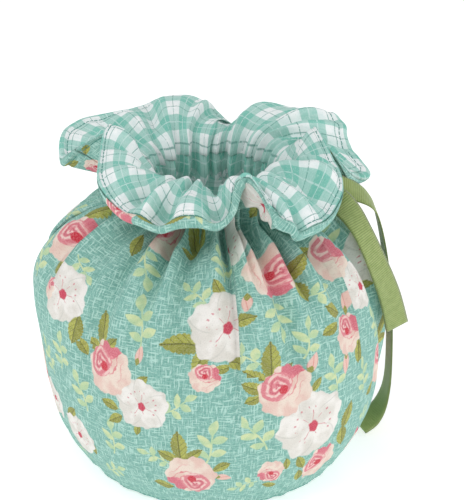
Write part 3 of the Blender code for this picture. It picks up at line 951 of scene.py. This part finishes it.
# White blooms: creased petals, a crimson eye and a few crimson strokes and dots round it.
x, y = surface_place(tree, "bloom")
bloom = ragged(x, y, 0.86, 2.5).ramp(0.02, -0.02)
angle = y.reckon("ARCTAN2", y, x)
far = distance(x, y)
crease = (abs((angle * 2.5 + far * 2.2).sine()) - 0.05).ramp(0.07, -0.03) * far.ramp(0.25, 0.5)
petals = printed(noise(x, y, 2.0, 2.0).ramp(0.4, 0.62), dye(243, 240, 235), dye(224, 220, 212))
petals = printed(crease * 0.45, dye(196, 196, 188), petals)
strokes = (abs((angle * 3.5 + noise(x, y, 3.0, 1.0) * 2.4).sine()) - 0.1).ramp(0.08, -0.05)
strokes = strokes * far.ramp(0.1, 0.14) * far.ramp(0.42, 0.36) * noise(x, y, 5.0, 1.0).ramp(0.42, 0.5)
dots = (abs((angle * 8.5).sine()) - 0.9).ramp(0.0, 0.04) * (abs(far - 0.46) - 0.03).ramp(0.015, -0.015)
eye = (distance(x, y * 0.8, 0.02, -0.03) - noise(x, y, 7.0, 1.0) * 0.1).ramp(0.09, 0.05)
marks = strokes.largest(dots * noise(x, y, 3.0, 1.0).ramp(0.5, 0.54))
petals = printed(marks * 0.75, dye(206, 96, 112), petals)
petals = printed(eye, dye(205, 58, 86), petals)
colour = printed(bloom, petals, colour)

# Roses: pale peach outer petals with pink streaks, one deep pink petal, and a whorl of small ones with a dark eye.
x, y = surface_place(tree, "rose")
rose = ragged(x, y, 0.84, 3.0).ramp(0.02, -0.02)
outer = printed(noise(x, y, 1.8, 2.0).ramp(0.4, 0.6), dye(240, 222, 208), dye(232, 198, 186))
streaks = (abs((distance(x, y, -0.3, 0.6) * 13 + noise(x, y, 2.6, 2.0) * 7).sine()) - 0.25).ramp(0.2, -0.15)
near_whorl = (distance(x, y, -0.05, 0.15) - 0.75).ramp(0.05, -0.25)
outer = printed(streaks * near_whorl * (x + y * 0.6).ramp(-0.2, 0.1), dye(226, 138, 142), outer)
deep = (distance(x * 0.9, y, 0.42, 0.58) - noise(x, y, 3.0, 2.0) * 0.2).ramp(0.3, 0.27)
deep_petal = printed(noise(x, y, 3.0, 2.0).ramp(0.5, 0.6), dye(232, 140, 150), dye(216, 112, 128))
outer = printed(deep, deep_petal, outer)
whorl_x, whorl_y = x + 0.2, y - 0.26
whorl_far = distance(whorl_x, whorl_y * 1.1)
whorl_angle = whorl_y.reckon("ARCTAN2", whorl_y, whorl_x)
whorl = (whorl_far - noise(x, y, 3.0, 2.0) * 0.12).ramp(0.44, 0.41)
rings = (whorl_far * 30 + whorl_angle + (whorl_angle * 3).sine() * 1.1 + noise(x, y, 4.5, 1.0) * 3).sine()
rim = rings.ramp(0.1, 0.5) * noise(x, y, 4.0, 1.0).ramp(0.36, 0.5)
inner = printed(rim, dye(242, 204, 198), dye(224, 132, 142))
inner = printed(rings.ramp(-0.5, -0.8) * whorl_far.ramp(0.45, 0.2) * 0.8, dye(205, 92, 110), inner)
eye = (distance(x, y, -0.05, 0.1) - noise(x, y, 6.0, 1.0) * 0.08).ramp(0.12, 0.08)
inner = printed(eye, dye(208, 44, 66), inner)
outer = printed(whorl, inner, outer)
colour = printed(rose, outer, colour)

x, y = surface_place(tree, "cloth")
colour = printed(fleck.ramp(0.35, 0.75) * 0.16, dye(250, 250, 246), colour)
colour = printed(fleck.ramp(0.5, 0.2) * 0.16, dye(70, 110, 104), colour)
relief = height * 0.35 + noise(x, y, 1.3, 3.0) * 1.2 + edge_puckers(x, y) * 3.0
cotton_finish(tree, shader, colour, fleck, 0.74, relief)


def panel_sheet(name, side, levels, outer, inner, anchor, full):
    """A padded panel: the offsets of its faces draw in to the anchor where it isn't full, at its edges."""
    folds = panel_folds(side)
    faces = [panel_grid(folds, levels, side, anchor + (face - anchor) * full) for face in (outer, inner)]
    places = np.stack([folds[None, :] + 0 * levels, up_the_cloth(levels)], axis=-1)
    return sheet_from(name, *faces, places)


def from_seam(levels):
    """Millimetres from the nearer side seam, counted in columns."""
    column = np.arange(levels.shape[1])
    return np.minimum(column, column[::-1])[None, :] * COLUMN_WIDTH + 0 * levels


COLUMN_WIDTH = 1.6
PRINT_EDGE_RADIUS = 2.2
FIRST_SECTION_LENGTH, FOOT_RADIUS = 10.8, 1.6
TURNED_UP = HEM_THICKNESS - PRINT_THICKNESS
MEETING_WIDTH = 4
for place, side in (("front", 1), ("back", -1)):
    levels = panel_levels(1.0)[:, None] + 0 * panel_folds(side)[None, :]
    rolled = catmull(EDGE, panel_folds(side), True)[None, :, 4]
    roll = smooth((rolled - from_edge(levels)) / 0.8 + 0.5) * (rolled > 0.5)
    meet = smooth(1 - from_edge(levels) / MEETING_WIDTH)
    hem = smooth((HEM_TOP - levels) / 0.3)
    full = turned_edge(from_edge(levels), PRINT_EDGE_RADIUS) * turned_edge(from_seam(levels), PRINT_EDGE_RADIUS)
    full = full * turned_edge(levels * FIRST_SECTION_LENGTH, FOOT_RADIUS)
    outer = PRINT_THICKNESS + stitched_puff(levels)
    inner = -(LAYER_GAP / 2 - 0.05) * meet * (1 - roll)
    inner = inner - (LAYER_GAP + LINING_THICKNESS + stitched_puff(levels)) * roll
    inner = inner - TURNED_UP * hem
    anchor = (PRINT_THICKNESS / 2 - TURNED_UP / 2 * hem) * (1 - meet) - LAYER_GAP / 2 * meet
    print_cloth = panel_sheet("print_" + place, side, levels, outer, inner, anchor, full)
    keep_coordinates(print_cloth, "cloth", cloth_coordinates(print_cloth))
    for layer, motifs in (("sprig", SPRIGS), ("leaf", LEAVES), ("bloom", BLOOMS), ("rose", ROSES)):
        nearest_motif(print_cloth, layer, motifs)
    print_cloth.data.materials.append(print_material)
    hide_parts("cosy_" + place)
    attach(print_cloth, "root")

# The lining: two pieces of check cotton inside the print, sewn to it round the frill's edge. It shows on the
# inside of the frill and down the neck.
LINING_EDGE_RADIUS, LINING_FOOT_RADIUS = 1.8, 1.2
SECOND_SECTION_LENGTH = 23
CASING_GAP = 3.2
CASING_RISE_ROWS = 5
CHECK_REPEAT = 2.0
check_material, tree, shader = cloth_material("check_cotton")
x, y = surface_place(tree, "cloth")
height, fleck = woven(tree, x, y)
bands = []
for along, across in ((x, y), (y + 0.35, x)):
    along = along + (noise(along, across, 2.0, 2.0) - 0.5) * 0.05
    share = (along / CHECK_REPEAT).reckon("FRACT", along / CHECK_REPEAT)
    band = (abs(share - 0.5) - 0.22).ramp(0.012, -0.012)
    dark_line = (abs(abs(share - 0.5) - 0.5) - 0.012).ramp(0.01, -0.006)
    light_line = (abs(share - 0.5) - 0.012).ramp(0.01, -0.006)
    bands.append((band, dark_line, light_line, noise(across * 9, along * 1.2, 1.0, 2.0)))
colour = printed(noise(x, y, 2.0, 3.0).ramp(0.3, 0.7), dye(252, 255, 255), dye(236, 246, 246))
for band, dark_line, light_line, thread in bands:
    colour = printed(band * (thread * 0.35 + 0.4), dye(84, 190, 170), colour)
for band, dark_line, light_line, thread in bands:
    colour = printed(dark_line * thread.ramp(0.3, 0.5) * 0.75, dye(96, 160, 150), colour)
    colour = printed(light_line * thread.ramp(0.3, 0.5) * 0.7, dye(222, 240, 238), colour)
colour = printed(fleck.ramp(0.5, 0.75) * 0.3, dye(240, 250, 248), colour)
colour = printed(fleck.ramp(0.45, 0.25) * 0.2, dye(90, 160, 150), colour)
relief = height * 0.35 + noise(x, y, 1.3, 3.0) * 1.6 + edge_puckers(x, y) * 4.0
cotton_finish(tree, shader, colour, fleck, 0.76, relief)

for place, side in (("front", 1), ("back", -1)):
    rolled = catmull(EDGE, panel_folds(side), True)[:, 4]
    columns = [panel_levels(1 - max(0, width) / FRILL_LENGTH) for width in rolled]
    levels = np.stack(columns, axis=1)
    levels = levels[levels[:, 0] >= HEM_TOP]
    inside = np.clip(2 * (levels - CASING_FOOT) + 1, 0, 1)
    inside = inside * np.clip(1 - CASING_RISE_ROWS * (levels - CASING_TOP), 0, 1)
    gap = LAYER_GAP + (CASING_GAP - LAYER_GAP) * inside
    own_edge = from_edge(levels) - np.maximum(rolled, 0)[None, :]
    meet = smooth(1 - own_edge / MEETING_WIDTH)
    full = turned_edge(own_edge, LINING_EDGE_RADIUS) * turned_edge(from_seam(levels), LINING_EDGE_RADIUS)
    full = full * turned_edge((levels - HEM_TOP) * SECOND_SECTION_LENGTH, LINING_FOOT_RADIUS)
    outer = -gap * (1 - meet) - (LAYER_GAP / 2 + 0.05) * meet
    inner = -gap - LINING_THICKNESS - stitched_puff(levels)
    anchor = (-gap - LINING_THICKNESS / 2) * (1 - meet) - (LAYER_GAP / 2 + 0.1) * meet
    check_cloth = panel_sheet("check_" + place, side, levels, outer, inner, anchor, full)
    keep_coordinates(check_cloth, "cloth", cloth_coordinates(check_cloth))
    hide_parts("lining_" + place)
    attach(check_cloth, "root")
    check_cloth.data.materials.append(check_material)

# The stitching: teal thread a shade darker than the print, in a row round the frill that shows on both its faces,
# and in a row along the hem.
THREAD_RADIUS = 0.26
STITCH, STITCH_GAP = 2.6, 0.3
POINTS_IN_ROW = 4000
THREAD_TWIST = 2500
ROWS_OF_STITCHES = (
    # level, offset of the face it lies on
    (CASING_TOP + 1 - TOPSTITCH_FROM_EDGE / FRILL_LENGTH, -LAYER_GAP - LINING_THICKNESS + 0.6),
    (CASING_TOP + 1 - TOPSTITCH_FROM_EDGE / FRILL_LENGTH, PRINT_THICKNESS - 0.6),
    (0.6, PRINT_THICKNESS),
)


def stitch_row(curve, side, level, offset):
    """Stitches along one row of a panel: each rises out of the cloth and dips into it again."""
    folds = np.linspace(panel_folds(side)[0] + 0.1, panel_folds(side)[-1] - 0.1, POINTS_IN_ROW)
    path = cloth_point(folds, level + 0 * folds, side, offset + 0 * folds)
    below = offset - np.sign(offset) * 2 * THREAD_RADIUS
    sunk = cloth_point(folds, level + 0 * folds, side, below + 0 * folds)
    along = np.concatenate([[0], np.cumsum(np.linalg.norm(np.diff(path, axis=0), axis=1))]) / MM
    for start in np.arange(0, along[-1] - STITCH, STITCH + STITCH_GAP):
        spline = curve.splines.new("POLY")
        places = ((0, sunk), (0.2, path), (0.5, path), (0.8, path), (1, sunk))
        spline.points.add(len(places) - 1)
        for point, (share, line) in zip(spline.points, places):
            where = [np.interp(start + share * STITCH, along, line[:, axis]) for axis in range(3)]
            point.co = (*where, 1)


curve = bpy.data.curves.new("stitch_lines", "CURVE")
curve.dimensions = "3D"
curve.bevel_depth = THREAD_RADIUS * MM
curve.bevel_resolution = 1
curve.use_fill_caps = True
for side in (1, -1):
    for level, offset in ROWS_OF_STITCHES:
        stitch_row(curve, side, level, offset)
lines = bpy.data.objects.new("stitch_lines", curve)
stitches = bpy.data.objects.new("stitches", bpy.data.meshes.new_from_object(lines))
bpy.data.objects.remove(lines)
stitches.data.shade_smooth()
bpy.context.scene.collection.objects.link(stitches)
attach(stitches, "root")
thread_material, tree, shader = cloth_material("dark_thread")
source = tree.nodes.new("ShaderNodeTexCoord")
twist = tree.nodes.new("ShaderNodeTexNoise")
twist.inputs["Scale"].default_value = THREAD_TWIST
tree.links.new(source.outputs["Object"], twist.inputs["Vector"])
colour = printed(Field(tree, twist.outputs[0]), dye(96, 166, 156), dye(66, 138, 130))
tree.links.new(colour, shader.inputs["Base Color"])
shader.inputs["Roughness"].default_value = 0.6
stitches.data.materials.clear()
stitches.data.materials.append(thread_material)

# The ribbon: one length of olive grosgrain, threaded through the casing. Its two free tails come out of the slot
# at +X. The front one is cut off short, and the back one hangs to the foot.
RIBBON_WIDTH = 15
RIBBON_THICKNESS = 1.0
RIBBON_SHARE_OF_CASING = 0.8
RIBBON_ROWS_IN_BEND = 14
RIBBON_COLUMNS = 8
RIB_SPACING = 0.13
FRONT_TAIL = (
    # middle line x, y, z, then heading and rise of the ribbon's width, and the width
    (44.9, -3.6, 162.2, 90, 89, 6.4),
    (50.5, -2.4, 162.4, 90, 88, 7),
    (56.0, -3.0, 163.2, 90, 84, 9),
    (64.5, -8.0, 163.0, 85, 60, 13),
    (74.0, -17.0, 157.5, 70, 35, 15),
    (82.5, -24.5, 147.0, 55, 20, 15),
    (91.5, -27.0, 128.0, 45, 14, 15),
    (99.5, -25.0, 107.0, 35, 14, 15),
    (105.0, -21.5, 86.0, 25, 14, 15),
)
BACK_TAIL = (
    (44.9, 3.6, 162.2, 90, 91, 6.4),
    (50.5, 2.4, 162.4, 90, 88, 7),
    (56.0, 3.0, 163.0, 90, 84, 9),
    (66.0, 7.0, 162.0, 90, 60, 13),
    (79.0, 11.0, 157.0, 92, 34, 15),
    (90.0, 13.0, 149.0, 95, 14, 15),
    (95.5, 14.0, 136.0, 98, 4, 15),
    (100.5, 14.0, 112.0, 100, 0, 15),
    (104.0, 14.0, 84.0, 100, 0, 15),
    (105.5, 13.0, 56.0, 100, 0, 15),
    (105.5, 12.0, 33.0, 100, 8, 15),
    (103.0, 11.0, 19.0, 100, 18, 15),
    (97.0, 8.0, 9.5, 98, 28, 15),
    (88.5, 4.0, 5.0, 96, 30, 15),
)


def tail_lines(table):
    """A free tail from the slot to its cut end: its lines of points side by side, and its thickness direction."""
    rows = np.array(table)
    at = np.linspace(0, len(rows) - 1, (len(rows) - 1) * RIBBON_ROWS_IN_BEND + 1)
    points = catmull(rows, at)
    middle = points[:, :3]
    along = np.gradient(middle, axis=0)
    rise = np.radians(points[:, 4:5])
    width = outward(points[:, 3]) * np.cos(rise)
    width[:, 2] = np.sin(rise[:, 0])
    along = along / np.linalg.norm(along, axis=1, keepdims=True)
    width = width - along * (width * along).sum(1, keepdims=True)
    width = width / np.linalg.norm(width, axis=1, keepdims=True)
    spread = np.linspace(-0.5, 0.5, RIBBON_COLUMNS + 1)[:, None, None]
    lines = middle[None] + width[None] * points[None, :, 5:6] * spread
    return (AXIS + lines) * MM, np.cross(along, width)[None] * MM


def loop_lines(offset):
    """The ribbon in its casing, from the slot round by way of the back to the slot again."""
    folds = np.linspace(BACK_SEAM_FOLD, BACK_SEAM_FOLD + FOLDS, FOLDS * 8 + 1)[3:-3]
    side = np.where(folds < FRONT_SEAM_FOLD + FOLDS, -1, 1)
    rest = (1 - RIBBON_SHARE_OF_CASING) / 2
    heights = CASING_FOOT + rest + np.linspace(0, RIBBON_SHARE_OF_CASING, RIBBON_COLUMNS + 1)
    return cloth_point(folds[None, :], heights[:, None], side, offset)


column = np.arange(RIBBON_COLUMNS + 1)
edge = turned_edge(np.minimum(column, column[::-1])[:, None] * 1.0, 0.5)
back_lines, back_thick = tail_lines(BACK_TAIL)
front_lines, front_thick = tail_lines(FRONT_TAIL)
faces = []
for half in (RIBBON_THICKNESS / 2, -RIBBON_THICKNESS / 2):
    back = (back_lines - back_thick * (half * edge)[..., None])[:, ::-1]
    front = front_lines + front_thick * (half * edge)[..., None]
    faces.append(np.concatenate([back, loop_lines(half * edge - CASING_GAP / 2), front], axis=1))
ends = (faces[0][:, [0, -1]] + faces[1][:, [0, -1]]) / 2
for face in faces:
    face[:, [0, -1]] = ends
middle = (faces[0] + faces[1])[RIBBON_COLUMNS // 2] / 2
length = np.concatenate([[0], np.cumsum(np.linalg.norm(np.diff(middle, axis=0), axis=1))]) / MM
across = np.linspace(0, RIBBON_WIDTH, RIBBON_COLUMNS + 1)
places = np.stack(np.broadcast_arrays(length[None, :], across[:, None]), axis=-1)
ribbon = sheet_from("ribbon_tie", *faces, places)
keep_coordinates(ribbon, "cloth", corner_places(ribbon)[:, :2] / 10)
ribbon_material, tree, shader = cloth_material("olive_grosgrain")
x, y = surface_place(tree, "cloth")
rib = abs((x * (math.pi / RIB_SPACING)).sine())
selvedge = (abs(y - 0.75) - 0.68).ramp(0.0, 0.03)
worn = noise(x * 3, y * 3, 1.0, 3.0)
colour = printed(worn.ramp(0.35, 0.65), dye(160, 178, 108), dye(146, 166, 94))
# Painted shade: the colour is darkened in the grooves between the ribs, where rib is low, on top of the ribs'
# bumped relief.
colour = printed(rib.ramp(0.6, 0.1) * (1 - selvedge) * 0.6, dye(104, 124, 62), colour)
colour = printed(noise(x * 30, y * 4, 1.0, 1.0).ramp(0.6, 0.75) * 0.25, dye(190, 205, 140), colour)
tree.links.new(colour, shader.inputs["Base Color"])
tree.links.new((worn * 0.2 + 0.45).socket, shader.inputs["Roughness"])
shader.inputs["Sheen Weight"].default_value = 0.3
shader.inputs["Sheen Roughness"].default_value = 0.4
raised(tree, shader, rib * (1 - selvedge) + worn * 0.3, 0.25)
ribbon.data.materials.append(ribbon_material)
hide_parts("ribbon")
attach(ribbon, "root")

# A pale table and soft studio light, with the camera a little above the cosy.
floor = bmesh.new()
bmesh.ops.create_grid(floor, x_segments=1, y_segments=1, size=3)
data = bpy.data.meshes.new("table")
floor.to_mesh(data)
floor.free()
table = bpy.data.objects.new("table", data)
bpy.context.scene.collection.objects.link(table)
white = bpy.data.materials.new("table_white")
white.use_nodes = True
shader = white.node_tree.nodes["Principled BSDF"]
shader.inputs["Base Color"].default_value = (0.8, 0.8, 0.8, 1)
shader.inputs["Roughness"].default_value = 0.7
shader.inputs["Emission Color"].default_value = (1, 1, 1, 1)
shader.inputs["Emission Strength"].default_value = 0.5
table.data.materials.append(white)

DISTANCE = 0.9
ELEVATION = math.radians(27)
TARGET = Vector((AXIS[0] * MM, 0, 0.095))
camera_data = bpy.data.cameras.new("camera")
camera_data.sensor_fit = "VERTICAL"
camera_data.sensor_height = 24
camera_data.lens = 74.5
camera_data.shift_x = 0.038
camera_data.shift_y = 0.092
camera = bpy.data.objects.new("camera", camera_data)
camera.location = TARGET + DISTANCE * Vector((0, -math.cos(ELEVATION), math.sin(ELEVATION)))
camera.rotation_euler = (math.pi / 2 - ELEVATION, 0, 0)
bpy.context.scene.collection.objects.link(camera)
bpy.context.scene.camera = camera

world = bpy.data.worlds.new("studio")
world.use_nodes = True
world.node_tree.nodes["Background"].inputs["Color"].default_value = (1, 1, 1, 1)
world.node_tree.nodes["Background"].inputs["Strength"].default_value = 0.66
bpy.context.scene.world = world
for name, power, size, where in (
    # watts, metres across, place
    ("key", 4.5, 0.9, (-0.7, -0.5, 1.1)),
    ("fill", 4.0, 1.2, (1.1, -0.4, 0.5)),
):
    light_data = bpy.data.lights.new(name, "AREA")
    light_data.energy = power
    light_data.size = size
    light = bpy.data.objects.new(name, light_data)
    light.location = where
    light.rotation_euler = (Vector((0, 0, 0.1)) - light.location).to_track_quat("-Z", "Y").to_euler()
    bpy.context.scene.collection.objects.link(light)
bpy.context.scene.view_settings.view_transform = "Standard"
